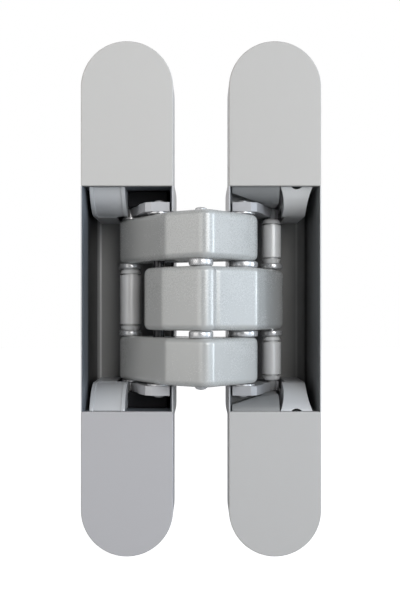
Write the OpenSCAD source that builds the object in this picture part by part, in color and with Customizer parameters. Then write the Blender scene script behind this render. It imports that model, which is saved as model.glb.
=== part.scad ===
// Concealed door hinge: two mortised bodies joined by crossed arms.
// X runs from the frame body to the door body, +Y runs into the wood, +Z is up.
// The origin is the middle between the frame body's fixing screws, where its long ends seat in
// the recess. The hinge is drawn wide open.

/* [Bodies] */
// Width of each body
body_w = 24; // [23.5:0.5:26]
// Length of each body, over its round ends
body_len = 134; // [130:1:150]
// Free depth behind the arms' tails when the door is shut
tail_room = 0.4; // [0.3:0.1:3]
// Depth of the shallow ends that hold the fixing screws
end_depth = 13; // [10:0.5:16]
// Free distance between the two bodies when the hinge is wide open
open_gap = 14.5; // [14:0.25:15.5]
// Length of the open window between the covers
window_len = 58.7; // [58:0.1:62]
// Thickness of the pocket's side walls
wall = 0.8; // [0.6:0.1:0.9]
// Thickness of the pocket's floor
floor_t = 2; // [1.5:0.1:2.2]
// Radius between the pocket's floor and its side walls
floor_r = 1.2; // [0.6:0.1:1.5]
// How far the pocket's mouth flares into each side wall at the face
flare = 0.45; // [0:0.05:0.5]
// Depth over which the mouth flares
flare_depth = 2.5; // [1:0.5:5]
// How deep the inner side wall is cut away for the arms
side_cut = 9.5; // [9:0.5:12]

/* [Covers] */
// Thickness of a cover plate
cover_t = 1.2; // [1:0.1:1.6]
// Bevel round a cover's face
cover_bevel = 0.25; // [0.1:0.05:0.4]
// Radius of a cover's locating peg
peg_r = 1.6; // [1.2:0.1:2]
// Length of a cover's locating peg
peg_len = 5; // [3:0.5:7]
// Distance from the window's edge to a cover's peg
peg_inset = 5; // [4:0.5:6]

/* [Linkage] */
// Distance of the fixed pivots from the middle between the bodies
pivot_side = 11.1; // [11:0.05:11.3]
// Depth of the fixed pivots behind the faces
pivot_depth = 4; // [3.8:0.1:4.2]
// How far the centre pin stands in front of the faces when open
centre_front = 7; // [6.8:0.1:7.2]
// Distance of the tail pins from the middle between the bodies
tail_side = 19.6; // [19.4:0.1:20]
// Depth of the tail pins behind the faces when open
tail_depth = 16; // [15.6:0.1:16.2]
// Gap between the two faces when the door is shut
closed_gap = 3.5; // [3:0.1:4]

/* [Pins] */
// Radius of the centre pin and of the two fixed pivot pins
pin_r = 1.5; // [1.3:0.05:1.55]
// Radius of the tail pins, which run in the curved tracks
tail_r = 1.3; // [1.1:0.05:1.4]
// Running clearance round a pin
run_c = 0.05; // [0.02:0.01:0.1]
// Clearance of a tail pin in its track
track_c = 0.2; // [0.12:0.02:0.3]
// Clearance round a pin that is pressed in
press_c = 0.01; // [0:0.005:0.02]
// How far the riveted ends of the centre pin stand proud
rivet_h = 0.8; // [0.4:0.1:1]

/* [Arms] */
// Height of the outer arm's inner faces above the middle
outer_z0 = 10; // [9.8:0.1:10.4]
// Height of each block of the outer arm
outer_h = 12.2; // [11.6:0.1:12.4]
// Half height of the middle arm
middle_hz = 8.15; // [7.8:0.05:8.4]
// Step in height where the middle arm's tail begins
middle_step = 0.55; // [0.3:0.05:0.8]
// Radius of the rounded crest round the centre pin
crest_r = 4.5; // [4.2:0.1:4.6]
// Radius of an arm's eye at its fixed pivot
eye_r = 3.8; // [3.5:0.1:3.8]
// Radius of an arm's eye at its tail pin
tail_eye_r = 3; // [2.8:0.1:3.1]
// Extra radius of the middle arm's eye at its tail pin
tail_eye_more = 0.2; // [0:0.05:0.25]
// Radius of the cast edges
edge_r = 1.2; // [0.6:0.1:1.4]
// Clearance of the notch in which the other arm's pivot pin swings
notch_c = 0.4; // [0.3:0.05:0.45]

/* [Guide plates] */
// Height of a guide plate's inner face above the middle
plate_z0 = 22.8; // [22.7:0.05:23]
// Thickness of a guide plate
plate_t = 2.5; // [2:0.1:2.6]
// Depth of a guide plate's front edge behind the face
plate_y0 = 1; // [0.6:0.1:1.2]
// Width of metal on each side of a track
track_land = 1.8; // [1.4:0.1:1.9]

/* [Rings and sleeves] */
// Radius of the spacer rings on the centre pin
ring_r = 3.1; // [2.8:0.1:3.4]
// Radius of the sleeve between the blocks of the outer arm
sleeve_r = 3; // [2.7:0.1:3.1]
// Radius of the two sleeves beside the middle arm
door_sleeve_r = 2.7; // [2.4:0.1:2.9]
// Height of the coned ends of a sleeve
cone_h = 1.9; // [1.2:0.1:2.4]
// Thickness of a thrust washer at a tail pin
washer_t = 1.2; // [0.9:0.1:1.3]
// Radius of the thrust washers
washer_r = 3.15; // [2.9:0.05:3.3]
// Radius of the rings on the door's pivot pin
door_ring_r = 3.9; // [3.4:0.1:4]
// Thickness of the shims between guide plates and outer arm
shim_t = 0.45; // [0.3:0.05:0.5]

/* [Guides] */
// Width of a frame guide block
guide_w = 9.3; // [8.5:0.1:9.3]
// Radius of a guide block's rounded front
guide_r = 11; // [10:0.5:12]
// Clearance of a guide block above the arms
guide_c = 0.3; // [0.25:0.05:0.4]
// Width of the raised rims of a frame guide block
rim_w = 1; // [0.6:0.1:1.5]
// Height of the raised rims of a frame guide block
rim_h = 0.35; // [0.2:0.05:0.5]
// Width of a door guide block
saddle_w = 8.4; // [7.5:0.1:8.4]
// Radius of the hollow sides of a door guide block
hollow_r = 14; // [12:0.5:18]
// Depth of the hollow sides of a door guide block
hollow_depth = 1.2; // [0.5:0.1:1.4]
// How much of the screw hole shows in a door guide block
screw_show = 0.6; // [0.3:0.1:1]
// Radius of a door carrier's rounded front
carrier_r = 5; // [4:0.5:6]
// Width of the slant under the inner end of a door carrier
slant_w = 7.9; // [5:0.1:8.5]
// Height of the slant under the inner end of a door carrier
slant_h = 2.4; // [1:0.1:2.8]

/* [Screws] */
// Distance of the outer fixing screws from the end of a body
fix_end = 8.5; // [7:0.5:9]
// Distance of the inner fixing screws from the body's deep middle
fix_land = 5.65; // [5.15:0.25:6.15]
// Radius of a fixing screw's hole
fix_r = 2.6; // [2.2:0.1:2.8]
// Radius of a fixing screw's countersink
sink_r = 5; // [4.2:0.1:5.2]
// Distance of the adjusting screws from the window's edge
adjust_inset = 10.15; // [9.65:0.25:10.65]
// Radius of an adjusting screw
adjust_r = 2; // [1.6:0.1:2.2]
// Length of an adjusting screw
adjust_len = 8; // [6:0.5:9]
// Width across flats of an adjusting screw's socket
adjust_key = 2; // [1.5:0.1:2.2]

/* [Hidden] */
$fn = 64;
hull_fn = 32;
eps = 0.5;
fit = 0.1;
seat = 0.02;

mid_x = (body_w + open_gap) / 2;
window_h = window_len / 2;
pocket_x = body_w / 2 - wall;
end_wall = 0.5;
deep_len = window_len + body_w + 2 * end_wall;
fix_outer = body_len / 2 - fix_end;
fix_inner = deep_len / 2 + fix_land;
adjust_z = window_h + adjust_inset;

pivot = [-pivot_side, pivot_depth];
crest = [0, -centre_front];
tail = [-tail_side, tail_depth];

// The mirror plane between the bodies turns the arms into each other's image.
cross_len = norm(crest - pivot);
tail_len = norm(tail - crest);
open_a = atan2(pivot[1] - crest[1], crest[0] - pivot[0]);
shut_a = 180 - asin((closed_gap / 2 + pivot_depth) / cross_len);
arm_turn = shut_a - open_a;
outer_turn = 180 - arm_turn;
tail_a = atan2(crest[1] - tail[1], tail[0] - crest[0]);
swing = arm_turn - outer_turn;

tail_far = pivot[1] - cross_len * sin(shut_a) - tail_len * sin(tail_a + outer_turn);
pocket_y = tail_far + tail_eye_r + tail_eye_more + tail_room;
body_depth = pocket_y + floor_t;

outer_z1 = outer_z0 + outer_h;
plate_z1 = plate_z0 + plate_t;
notch_r = pin_r + notch_c;
track_steps = 12;
notch_steps = 24;
slot_hw = tail_r + track_c;
pin_half = plate_z1 + rivet_h;

// Bends of a guide plate's outer side, from its pivot, and the one at its front edge.
plate_bends = [[-6.25, 6], [-5.25, 1.5], [-3.55, -2.1]];
front_bend = 1.95;

// Bends of the arms, each a place and a radius, beside their pins.
short_leg_bends = [[[9, -2.5], 2]];
outer_leg_bends = [[[0, -4], 3], [[-1.2, -7.8], 3], [[-6.6, -4.1], 2], [[-14.9, 5.4], 2]];
middle_leg_bends = [[[0, -4], 3], [[-3.4, -7], 2], [[-12.7, -0.6], 2.2]];

// Blocks at the ends of the pockets: guides beside the outer wall, carriers beside the inner one.
guide_z = outer_z1 + guide_c;
guide_x0 = floor_r - pocket_x;
frame_split = guide_x0 + guide_w;
saddle_x1 = guide_x0 + saddle_w + guide_c;
front_y = guide_r + plate_y0;
tail_clear_x = mid_x - tail_side - slot_hw - track_land - fit;
guide_floor = pocket_y - seat;

// A point at a share t of the way from open to shut on the tail pin's path.
function track_point(t) = [
    pivot[0] + cross_len * cos(open_a + arm_turn * t) + tail_len * cos(tail_a + outer_turn * t),
    pivot[1] - cross_len * sin(open_a + arm_turn * t) - tail_len * sin(tail_a + outer_turn * t)];
function unit(v) = v / norm(v);
function track_way(t) = unit(track_point(t + 0.01) - track_point(t - 0.01));
function track_side(t, d) = track_point(t) + d * [-track_way(t)[1], track_way(t)[0]];

module both_ends() {
    children();
    mirror([0, 0, 1])
        children();
}

module lower() {
    mirror([0, 0, 1])
        children();
}

// Puts the back of the long ends on the origin's plane.
module seated(x) {
    translate([x, -end_depth, 0])
        children();
}

// Moves a form from the middle between the bodies to its place.
module frame_side() {
    seated(mid_x)
        children();
}

module door_side() {
    seated(mid_x)
        mirror([1, 0, 0])
            children();
}

// Turns a form of the frame side into its twin in the door's body.
module door_frame() {
    seated(2 * mid_x)
        mirror([1, 0, 0])
            children();
}

module along_y(y0, y1) {
    rotate([-90, 0, 0])
        translate([0, 0, y0])
            linear_extrude(y1 - y0)
                children();
}

module box(low, high) {
    translate(low)
        cube(high - low);
}

module post(p, r, z0, z1) {
    translate([p[0], p[1], z0])
        cylinder(r = r, h = z1 - z0);
}

module ring(p, r, bore, z0, z1) {
    difference() {
        post(p, r, z0, z1);
        post(p, bore, z0 - eps, z1 + eps);
    }
}

module stadium(len, w) {
    square([w, len - w], center = true);
    for (s = [-1, 1])
        translate([0, s * (len - w) / 2])
            circle(d = w);
}

// Bodies
module pocket() {
    x = pocket_x;
    y = pocket_y;
    translate([0, 0, -window_h])
        linear_extrude(window_len)
            union() {
                polygon([[-x - flare, -eps], [x + flare, -eps], [x + flare, 0], [x, flare_depth],
                    [x, y - floor_r], [-x, y - floor_r], [-x, flare_depth], [-x - flare, 0]]);
                translate([-x + floor_r, flare_depth])
                    square([2 * (x - floor_r), y - flare_depth]);
                for (s = [-1, 1])
                    translate([s * (x - floor_r), y - floor_r])
                        circle(r = floor_r);
            }
}

module fixing_hole(z) {
    translate([0, 0, z])
        rotate([-90, 0, 0]) {
            cylinder(r = fix_r, h = end_depth + eps);
            translate([0, 0, cover_t - seat])
                cylinder(r1 = sink_r, r2 = fix_r, h = sink_r - fix_r);
        }
}

module shell_body() {
    difference() {
        union() {
            along_y(0, end_depth)
                stadium(body_len, body_w);
            along_y(0, body_depth)
                stadium(deep_len, body_w);
        }
        pocket();
        both_ends()
            box([-body_w, -eps, window_h], [body_w, cover_t, body_len]);
        box([pocket_x - fit, -eps, -plate_z0], [body_w, side_cut, plate_z0]);
        for (z = [-fix_outer, -fix_inner, fix_inner, fix_outer])
            fixing_hole(z);
        for (z = [-adjust_z, adjust_z])
            translate([0, 0, z])
                rotate([-90, 0, 0])
                    cylinder(r = adjust_r + press_c, h = cover_t + adjust_len + seat);
        for (z = [-window_h - peg_inset, window_h + peg_inset])
            translate([0, 0, z])
                rotate([-90, 0, 0])
                    cylinder(r = peg_r + press_c, h = cover_t + peg_len + seat);
    }
}

module cover_outline(inset) {
    intersection() {
        stadium(body_len - 2 * inset, body_w - 2 * inset);
        translate([-body_w, -body_len])
            square([2 * body_w, body_len - window_h - inset]);
    }
}

// A flat plate with a fine bevel, half round at its outer end, on one peg.
module cover() {
    hull() {
        along_y(cover_bevel, cover_t)
            cover_outline(0);
        along_y(0, cover_bevel)
            cover_outline(cover_bevel);
    }
    translate([0, cover_t, window_h + peg_inset])
        rotate([-90, 0, 0])
            cylinder(r = peg_r, h = peg_len);
}

module adjusting_screws() {
    for (z = [-adjust_z, adjust_z])
        translate([0, cover_t, z])
            rotate([-90, 0, 0])
                difference() {
                    cylinder(r = adjust_r, h = adjust_len);
                    translate([0, 0, -eps])
                        cylinder(d = adjust_key / cos(30), h = adjust_len / 3, $fn = 6);
                }
}

// Guides and carriers at the ends of the pockets
// A block with a rounded front, cut free above the guide plate behind the front.
module guide_form(x0, x1) {
    box([x0, front_y - seat, guide_z], [tail_clear_x, guide_floor, window_h]);
    box([x0, front_y - seat, plate_z1 + track_c], [x1, guide_floor, window_h]);
    quarter_round(x0, x1, guide_r);
}

module quarter_round(x0, x1, r) {
    intersection() {
        translate([x0, front_y, guide_z + guide_r - track_c])
            rotate([0, 90, 0])
                cylinder(r = r, h = x1 - x0);
        box([x0, 0, guide_z], [x1, front_y, window_h]);
    }
}

module frame_guide_form() {
    difference() {
        guide_form(guide_x0, frame_split);
        difference() {
            box([guide_x0 + rim_w, -eps, guide_z - eps],
                [frame_split - rim_w, front_y - 2 * seat, window_h + eps]);
            quarter_round(guide_x0, frame_split, guide_r - rim_h);
        }
    }
}

module frame_carrier_form() {
    box([frame_split + fit, guide_r, plate_z1 + seat],
        [pocket_x - floor_r, guide_floor, window_h]);
}

module door_guide_form() {
    x1 = guide_x0 + saddle_w;
    difference() {
        guide_form(guide_x0, x1);
        for (x = [guide_x0 - hollow_r + hollow_depth, x1 + hollow_r - hollow_depth])
            translate([x, -eps, guide_z + hollow_depth])
                rotate([-90, 0, 0])
                    cylinder(r = hollow_r, h = body_depth);
        translate([(guide_x0 + x1) / 2, -eps, window_h + adjust_r - screw_show])
            rotate([-90, 0, 0])
                cylinder(r = adjust_r, h = guide_r);
    }
}

module door_carrier_form() {
    x1 = pocket_x - fit;
    z0 = plate_z1 + seat;
    front = plate_y0 + carrier_r;
    difference() {
        intersection() {
            box([saddle_x1, 0, z0], [x1, pocket_y - floor_r, window_h]);
            union() {
                translate([saddle_x1, front, z0 + carrier_r])
                    rotate([0, 90, 0])
                        cylinder(r = carrier_r, h = x1 - saddle_x1);
                box([saddle_x1, front, z0], [x1, pocket_y, window_h]);
            }
        }
        post([mid_x - pivot_side, pivot_depth], pin_r + fit, z0 - eps, pin_half + fit);
        translate([x1, front, z0])
            rotate([90, 0, 0])
                linear_extrude(front)
                    polygon([[-slant_w, 0], [-slant_w, -eps], [eps, -eps], [eps, slant_h], [0, slant_h]]);
    }
}

// Guide plates with their curved tracks
function turned(r, a) = r * [cos(a), sin(a)];
function arc(c, r, a0, a1, n) = [for (i = [0:n]) c + turned(r, a0 + (a1 - a0) * i / n)];
function heading(t) = atan2(track_way(t)[1], track_way(t)[0]);

// One outline round the pivot and both sides of the track, open where the pin stands at rest.
module plate_outline() {
    hw = slot_hw + track_land;
    x1 = -open_gap / 2 - wall - fit;
    lip_a0 = -30;
    lip_a1 = -80;
    lip_steps = 6;
    first = ceil(track_steps / 4);
    last = track_steps - 1;
    mouth = track_point(0);
    polygon(concat(
        [for (b = plate_bends) pivot + b],
        [[pivot[0] - front_bend, plate_y0], [x1, plate_y0], [x1, tail_depth + hw]],
        [for (i = [2 * first + 1:last]) track_side(i / track_steps, -hw)],
        arc(track_point(1), hw, heading(1) - 90, heading(1) + 90, track_steps),
        [for (i = [last:-1:first]) track_side(i / track_steps, hw)],
        [for (i = [first:last]) track_side(i / track_steps, slot_hw)],
        arc(track_point(1), slot_hw, heading(1) + 90, heading(1) - 90, track_steps),
        [for (i = [last:-1:first]) track_side(i / track_steps, -slot_hw)],
        arc(mouth, slot_hw + eps, lip_a0, lip_a1, lip_steps)));
}

module guide_plate() {
    difference() {
        translate([0, 0, plate_z0])
            linear_extrude(plate_t)
                plate_outline();
        post(pivot, pin_r + press_c, plate_z0 - eps, plate_z1 + eps);
    }
}

module pivot_pin() {
    post(pivot, pin_r, -pin_half, pin_half);
}

module shims() {
    both_ends()
        ring(pivot, washer_r, pin_r + press_c, plate_z0 - shim_t, plate_z0);
}

// Arms
module puck(p, r, z0, z1) {
    translate([p[0], p[1], z0])
        rotate_extrude($fn = hull_fn)
            polygon(concat([[0, 0]],
                [for (a = [-90:30:0]) [r - edge_r + edge_r * cos(a), edge_r + edge_r * sin(a)]],
                [for (a = [0:30:90]) [r - edge_r + edge_r * cos(a), z1 - z0 - edge_r + edge_r * sin(a)]],
                [[0, z1 - z0]]));
}

// The other arm's pivot pin swings about the centre pin inside this arc.
module notch(z0, z1) {
    start = atan2(pivot[1] - crest[1], pivot[0] - crest[0]);
    run_out = 20;
    end_steps = notch_steps / 2;
    translate([0, 0, z0 - eps])
        linear_extrude(z1 - z0 + 2 * eps)
            polygon(concat(
                arc(crest, cross_len + notch_r, start - swing - run_out, start, notch_steps),
                [for (i = [1:end_steps - 1]) pivot + turned(notch_r, start + 180 * i / end_steps)],
                arc(crest, cross_len - notch_r, start, start - swing - run_out, notch_steps)));
}

module arm_bores(z0, z1, crest_c) {
    post(crest, pin_r + crest_c, z0 - eps, z1 + eps);
    post([-pivot[0], pivot[1]], pin_r + run_c, z0 - eps, z1 + eps);
    post(tail, tail_r + run_c, z0 - eps, z1 + eps);
}

module short_leg(z0, z1) {
    hull() {
        puck(crest, crest_r, z0, z1);
        for (b = short_leg_bends)
            puck(b[0], b[1], z0, z1);
        puck([-pivot[0], pivot[1]], eye_r, z0, z1);
    }
}

module long_leg(bends, end_r, z0, z1) {
    hull() {
        for (b = bends)
            puck(b[0], b[1], z0, z1);
        puck(tail, end_r, z0, z1);
    }
}

module outer_block() {
    z0 = outer_z0;
    z1 = outer_z1;
    difference() {
        union() {
            short_leg(z0, z1);
            long_leg(outer_leg_bends, tail_eye_r, z0 + seat, z1 - seat);
        }
        notch(z0, z1);
        arm_bores(z0, z1, press_c);
    }
}

// Drawn as the outer arm lies, then turned round by the mirror plane.
module middle_form() {
    z = middle_hz;
    tail_z = middle_hz - middle_step;
    difference() {
        union() {
            short_leg(-z, z);
            long_leg(middle_leg_bends, tail_eye_r + tail_eye_more, -tail_z, tail_z);
        }
        notch(-z, z);
        arm_bores(-z, z, run_c);
    }
}

// Turned parts
module cone_sleeve(p, r, z0, z1) {
    difference() {
        union() {
            post(p, r, z0 + cone_h, z1 - cone_h);
            translate([p[0], p[1], z0])
                cylinder(r1 = r - cone_h / 3, r2 = r, h = cone_h);
            translate([p[0], p[1], z1 - cone_h])
                cylinder(r1 = r, r2 = r - cone_h / 3, h = cone_h);
        }
        post(p, tail_r + run_c, z0 - eps, z1 + eps);
    }
}

module tail_washers() {
    both_ends()
        ring(tail, washer_r, tail_r + press_c, outer_z0 - washer_t, outer_z0);
}

module tail_pin() {
    post(tail, tail_r, -plate_z1, plate_z1);
}

// Sub-parts
module frame_body() color("lightslategray") seated(0) shell_body();
module frame_cover_upper() color("lightgray") seated(0) cover();
module frame_cover_lower() color("lightgray") seated(0) lower() cover();
module frame_guide_upper() color("silver") seated(0) frame_guide_form();
module frame_guide_lower() color("silver") seated(0) lower() frame_guide_form();
module frame_carrier_upper() color("dimgray") seated(0) frame_carrier_form();
module frame_carrier_lower() color("dimgray") seated(0) lower() frame_carrier_form();
module frame_plate_upper() color("gainsboro") frame_side() guide_plate();
module frame_plate_lower() color("gainsboro") frame_side() lower() guide_plate();
module frame_pivot_pin() color("white") frame_side() pivot_pin();
module frame_shims() color("white") frame_side() shims();
module frame_adjusting_screws() color("gray") seated(0) adjusting_screws();
module door_body() color("slategray") door_frame() shell_body();
module door_cover_upper() color("lightgray") door_frame() cover();
module door_cover_lower() color("lightgray") door_frame() lower() cover();
module door_guide_upper() color("silver") door_frame() door_guide_form();
module door_guide_lower() color("silver") door_frame() lower() door_guide_form();
module door_carrier_upper() color("silver") door_frame() door_carrier_form();
module door_carrier_lower() color("silver") door_frame() lower() door_carrier_form();
module door_plate_upper() color("gainsboro") door_side() guide_plate();
module door_plate_lower() color("gainsboro") door_side() lower() guide_plate();
module door_pivot_pin() color("white") door_side() pivot_pin();
module door_pivot_rings()
    color("white") door_side() both_ends()
        ring(pivot, door_ring_r, pin_r + press_c, middle_hz + fit, outer_z0 - fit);
module door_shims() color("white") door_side() shims();
module door_adjusting_screws() color("gray") door_frame() adjusting_screws();
module outer_arm_upper() color("darkgray") frame_side() outer_block();
module outer_arm_lower() color("darkgray") frame_side() lower() outer_block();
module centre_pin()
    color("white") frame_side() post(crest, pin_r, -outer_z1 - rivet_h, outer_z1 + rivet_h);
module centre_rings()
    color("white") frame_side() both_ends()
        ring(crest, ring_r, pin_r + press_c, middle_hz + run_c, outer_z0);
module outer_tail_pin() color("white") frame_side() tail_pin();
module outer_tail_sleeve()
    color("lightgray") frame_side()
        cone_sleeve(tail, sleeve_r, -outer_z0 + washer_t, outer_z0 - washer_t);
module outer_tail_washers() color("white") frame_side() tail_washers();
module middle_arm() color("darkgray") door_side() middle_form();
module middle_tail_pin() color("white") door_side() tail_pin();
module middle_tail_sleeve_upper()
    color("lightgray") door_side() cone_sleeve(tail, door_sleeve_r, outer_z0, plate_z0 - shim_t);
module middle_tail_sleeve_lower()
    color("lightgray") door_side() lower() cone_sleeve(tail, door_sleeve_r, outer_z0, plate_z0 - shim_t);
module middle_tail_washers() color("white") door_side() tail_washers();

frame_body();
frame_cover_upper();
frame_cover_lower();
frame_guide_upper();
frame_guide_lower();
frame_carrier_upper();
frame_carrier_lower();
frame_plate_upper();
frame_plate_lower();
frame_pivot_pin();
frame_shims();
frame_adjusting_screws();
door_body();
door_cover_upper();
door_cover_lower();
door_guide_upper();
door_guide_lower();
door_carrier_upper();
door_carrier_lower();
door_plate_upper();
door_plate_lower();
door_pivot_pin();
door_pivot_rings();
door_shims();
door_adjusting_screws();
outer_arm_upper();
outer_arm_lower();
centre_pin();
centre_rings();
outer_tail_pin();
outer_tail_sleeve();
outer_tail_washers();
middle_arm();
middle_tail_pin();
middle_tail_sleeve_upper();
middle_tail_sleeve_lower();
middle_tail_washers();
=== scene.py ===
import logging
import math
from dataclasses import dataclass, field
from enum import Enum
from typing import Any, Iterable, Optional, Sequence, Union

import bpy
import numpy as np
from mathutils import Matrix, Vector


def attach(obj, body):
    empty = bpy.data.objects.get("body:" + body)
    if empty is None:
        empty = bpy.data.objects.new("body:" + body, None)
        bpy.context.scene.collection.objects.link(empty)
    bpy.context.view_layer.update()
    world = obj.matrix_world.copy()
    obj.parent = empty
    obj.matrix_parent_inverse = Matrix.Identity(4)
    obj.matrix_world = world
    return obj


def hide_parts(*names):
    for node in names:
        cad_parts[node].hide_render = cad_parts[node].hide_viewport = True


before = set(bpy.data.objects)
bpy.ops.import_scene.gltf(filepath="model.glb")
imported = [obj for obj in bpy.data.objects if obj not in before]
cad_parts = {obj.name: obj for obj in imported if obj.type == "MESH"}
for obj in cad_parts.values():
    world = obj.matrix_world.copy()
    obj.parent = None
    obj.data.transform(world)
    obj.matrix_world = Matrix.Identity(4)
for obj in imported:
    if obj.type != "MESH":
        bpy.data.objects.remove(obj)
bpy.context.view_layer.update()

LOG = logging.getLogger("hinge")
MM = 0.001

Number = Union[int, float]
Point = tuple[float, float]
Triple = tuple[float, float, float]
# A centre and a radius
Circle = tuple[Point, float]
# Points in millimetres, one a row, and the indices of each face
Form = tuple[np.ndarray, list[Sequence[int]]]


class Side(Enum):
    """Which body of the hinge a form belongs to."""

    FRAME = 1
    DOOR = -1


class Axis(Enum):
    """Which coordinate a mirror turns round."""

    X = 0
    Z = 2


# Shader maths


class Wire:
    """An output socket whose operators add Math nodes."""

    def __init__(self, tree: bpy.types.NodeTree, socket: bpy.types.NodeSocket) -> None:
        """Keeps the tree and the socket."""
        self.tree = tree
        self.socket = socket

    def _math(self, operation: str, *values: Union["Wire", Number]) -> "Wire":
        """Adds one Math node.

        Args:
            operation: the node's operation.
            values: its inputs, wires or numbers.

        Returns:
            The node's output as a wire.
        """
        node = self.tree.nodes.new("ShaderNodeMath")
        node.operation = operation
        for slot, value in zip(node.inputs, values):
            if isinstance(value, Wire):
                self.tree.links.new(value.socket, slot)
            else:
                slot.default_value = value
        return Wire(self.tree, node.outputs[0])

    def __add__(self, other: Union["Wire", Number]) -> "Wire":
        """self + other."""
        return self._math("ADD", self, other)

    __radd__ = __add__

    def __sub__(self, other: Union["Wire", Number]) -> "Wire":
        """self - other."""
        return self._math("SUBTRACT", self, other)

    def __rsub__(self, other: Union["Wire", Number]) -> "Wire":
        """other - self."""
        return self._math("SUBTRACT", other, self)

    def __mul__(self, other: Union["Wire", Number]) -> "Wire":
        """self * other."""
        return self._math("MULTIPLY", self, other)

    __rmul__ = __mul__

    def above(self, threshold: Number) -> "Wire":
        """1 where self is greater than the threshold, else 0."""
        return self._math("GREATER_THAN", self, threshold)

    def below(self, threshold: Number) -> "Wire":
        """1 where self is less than the threshold, else 0."""
        return self._math("LESS_THAN", self, threshold)

    def magnitude(self) -> "Wire":
        """self without its sign."""
        return self._math("ABSOLUTE", self)

    def clamped(self) -> "Wire":
        """self held between 0 and 1."""
        return self._math("MAXIMUM", self._math("MINIMUM", self, 1.0), 0.0)


class Bench:
    """A node tree with one method that adds any node."""

    def __init__(self, tree: bpy.types.NodeTree) -> None:
        """Empties the tree."""
        self.tree = tree
        tree.nodes.clear()

    def add(self, kind: str, settings: Optional[dict[str, Any]] = None, **values: Any) -> bpy.types.Node:
        """Adds a node.

        Args:
            kind: the node's type.
            settings: its own settings, which are set first.
            values: socket names with _ for a space, or numbers after a _, and their values or wires.

        Returns:
            The node.
        """
        node = self.tree.nodes.new(kind)
        for key, value in (settings or {}).items():
            setattr(node, key, value)
        for key, value in values.items():
            slot = node.inputs[int(key[1:])] if key[0] == "_" else node.inputs[key.replace("_", " ")]
            if isinstance(value, Wire):
                self.tree.links.new(value.socket, slot)
            else:
                slot.default_value = value
        return node

    def out(self, node: bpy.types.Node, name: Union[str, int] = 0) -> Wire:
        """One output of a node as a wire."""
        return Wire(self.tree, node.outputs[name])

    def place(self, stretch: Triple = (1.0, 1.0, 1.0)) -> Wire:
        """Object coordinates, stretched along each axis."""
        coords = self.out(self.add("ShaderNodeTexCoord"), "Object")
        return self.out(self.add("ShaderNodeMapping", Vector=coords, Scale=stretch))

    def noise(self, scale: float, detail: float, stretch: Triple = (1.0, 1.0, 1.0)) -> Wire:
        """A noise value about 0.5.

        Args:
            scale: cells in a metre.
            detail: octaves.
            stretch: how each axis is stretched first.

        Returns:
            The noise's value.
        """
        node = self.add("ShaderNodeTexNoise", {"noise_dimensions": "3D"}, Vector=self.place(stretch),
                        Scale=scale, Detail=detail, Roughness=0.55)
        return self.out(node, 0)

    def mixed(self, factor: Wire, low: Triple, high: Triple) -> Wire:
        """A colour between low and high by a factor."""
        node = self.add("ShaderNodeMix", {"data_type": "RGBA"}, _0=factor, _6=(*low, 1.0), _7=(*high, 1.0))
        return self.out(node, 2)

    def blend(self, factor: Wire, under: Wire, over: Triple) -> Wire:
        """A plain colour laid over a wire's colour by a factor."""
        node = self.add("ShaderNodeMix", {"data_type": "RGBA"}, _0=factor, _6=under, _7=(*over, 1.0))
        return self.out(node, 2)


# Finishes

# How far the ends of a colour's range lie from it, as a share of it
TONE_SPAN = 0.5
# How far the fine and the broad noise move the roughness
ROUGH_BY_GRAIN = 6.0
ROUGH_BY_DRIFT = 0.06
# Depth of the grain's relief in metres
RELIEF_DEPTH = 0.0002


@dataclass(frozen=True)
class Finish:
    """A metal or painted surface with its own colour drift, grain and roughness."""

    name: str
    colour: Triple
    metallic: float = 0.0
    roughness: float = 0.4
    specular: float = 0.5
    drift: float = 0.04
    drift_scale: float = 60.0
    grain: float = 0.02
    grain_scale: float = 2500.0
    bump: float = 0.02
    stretch: Triple = (1.0, 1.0, 1.0)

    def tint(self, bench: Bench, colour: Wire) -> Wire:
        """The colour as it is; finishes with more than one tone lay the others here."""
        return colour

    def material(self) -> bpy.types.Material:
        """Builds the material once: a broad and a fine noise move its colour and its roughness.

        Returns:
            The material of this name.
        """
        found = bpy.data.materials.get(self.name)
        if found:
            return found
        made = bpy.data.materials.new(self.name)
        made.use_nodes = True
        bench = Bench(made.node_tree)
        broad = bench.noise(self.drift_scale, 2.0)
        fine = bench.noise(self.grain_scale, 4.0, self.stretch)
        shade = (broad - 0.5) * (2 * self.drift) + (fine - 0.5) * (2 * self.grain)
        low = tuple(c * (1 - TONE_SPAN) for c in self.colour)
        high = tuple(min(1.0, c * (1 + TONE_SPAN)) for c in self.colour)
        colour = self.tint(bench, bench.mixed((shade + 0.5).clamped(), low, high))
        rough = ((fine - 0.5) * (ROUGH_BY_GRAIN * self.grain) + (broad - 0.5) * ROUGH_BY_DRIFT
                 + self.roughness).clamped()
        relief = bench.add("ShaderNodeBump", Strength=self.bump, Distance=RELIEF_DEPTH, Height=fine)
        shader = bench.add("ShaderNodeBsdfPrincipled", Base_Color=colour, Roughness=rough,
                           Metallic=self.metallic, Normal=bench.out(relief),
                           Specular_IOR_Level=self.specular)
        out = bench.add("ShaderNodeOutputMaterial", Surface=bench.out(shader))
        out.is_active_output = True
        made.diffuse_color = (*self.colour, 1.0)
        return made


@dataclass(frozen=True)
class CoverFinish(Finish):
    """The satin plating of the covers."""

    roughness: float = 0.5
    specular: float = 0.3
    drift: float = 0.006
    grain: float = 0.006


@dataclass(frozen=True)
class BlockFinish(Finish):
    """The grey plating of the blocks at the ends of the pockets."""

    metallic: float = 0.15
    drift: float = 0.015
    grain: float = 0.015


@dataclass(frozen=True)
class PlateFinish(Finish):
    """A guide plate's steel, brushed level."""

    metallic: float = 0.15
    roughness: float = 0.36
    drift: float = 0.02
    grain: float = 0.04
    grain_scale: float = 900.0
    bump: float = 0.06
    stretch: Triple = (0.4, 0.4, 6.0)


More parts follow.
